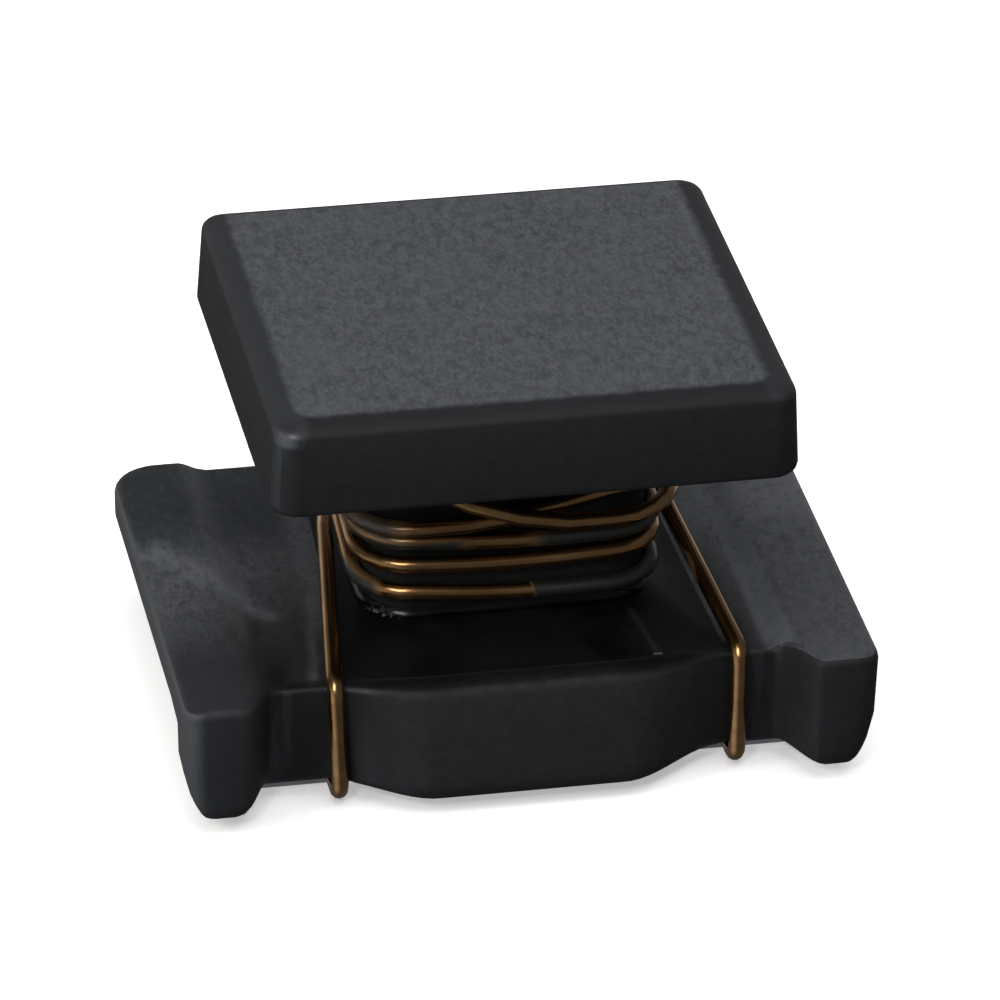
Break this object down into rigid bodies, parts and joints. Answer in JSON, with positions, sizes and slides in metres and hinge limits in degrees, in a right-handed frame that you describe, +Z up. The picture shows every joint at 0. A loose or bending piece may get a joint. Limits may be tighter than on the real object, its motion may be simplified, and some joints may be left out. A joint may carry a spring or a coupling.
{
  "type": "wirewound smd inductor",
  "caption": "Open wirewound surface-mount inductor: enamelled copper wire on a ferrite drum core with a rectangular post, varnished at its foot, with soldered end terminals.",
  "frame": {"origin": "centre of the bounding box in plan, on the board plane under the solder", "axes": "+X along the base from the left terminal to the right one, +Z up from the board, -Y towards the notched side where the leads come down"},
  "size_m": [0.0044, 0.0032, 0.0029],
  "materials": {
    "ferrite": "matte sintered ferrite",
    "enamelled_copper": "copper wire under a thin clear brown enamel",
    "varnish": "glossy black",
    "plating": "silver-coloured plating",
    "solder": "bright solder"
  },
  "bodies": {
    "root": {"drum_core": "ferrite", "winding": "enamelled_copper", "varnish": "varnish", "terminal_left": "plating", "terminal_right": "plating", "solder_left": "solder", "solder_right": "solder"}
  },
  "joints": []
}
